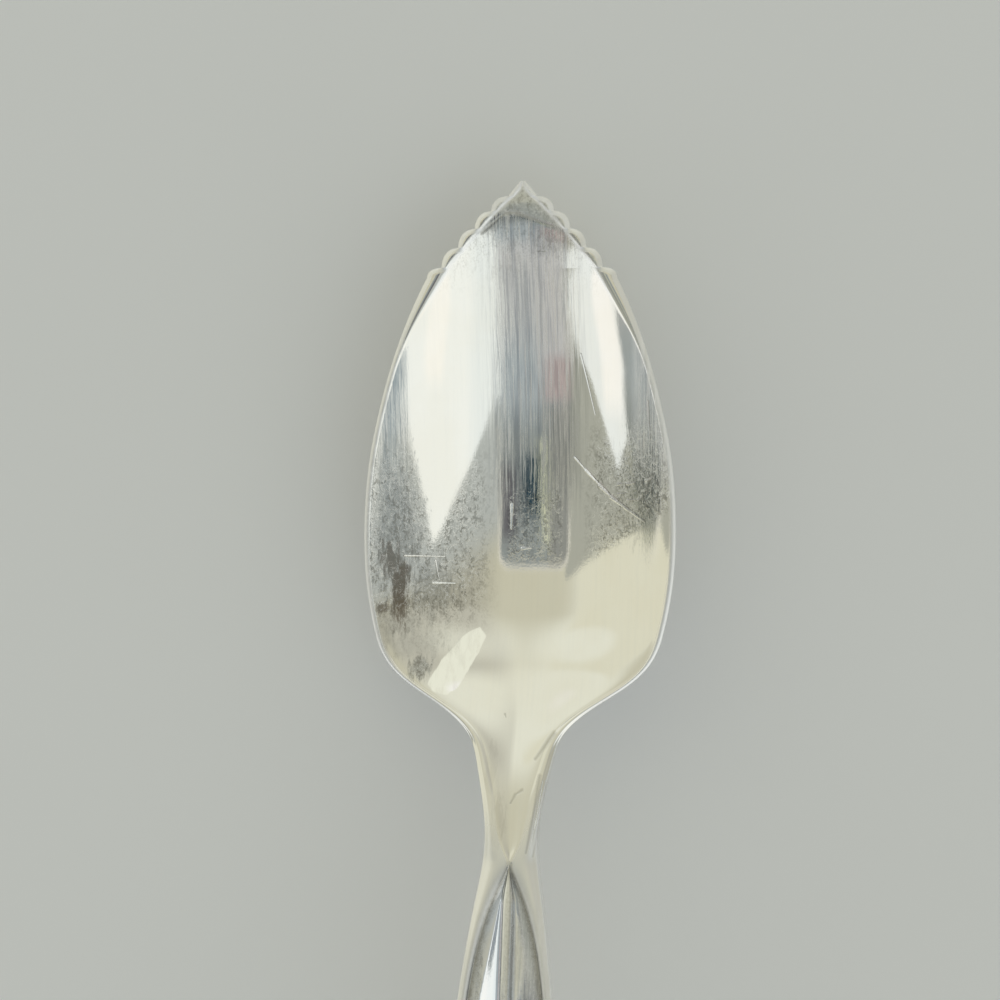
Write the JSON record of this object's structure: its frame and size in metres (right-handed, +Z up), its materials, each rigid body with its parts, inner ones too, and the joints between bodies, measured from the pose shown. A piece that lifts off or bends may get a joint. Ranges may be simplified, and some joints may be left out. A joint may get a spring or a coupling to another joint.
{
  "type": "grapefruit spoon",
  "caption": "Spoon with a dished bowl, a pointed tip with serrated sides that frees citrus segments, a stiff arched neck and a fluted handle.",
  "frame": {"origin": "on the table, under the middle of the spoon's box, with the spoon lying face up", "axes": "+Y along the spoon towards the pointed tip, +Z up out of the open bowl, +X across to the right when the tip points away"},
  "size_m": [0.027, 0.15, 0.017],
  "materials": {
    "silver_plate": "polished"
  },
  "bodies": {
    "root": {"bowl": "silver_plate", "neck": "silver_plate", "handle": "silver_plate"}
  },
  "joints": []
}
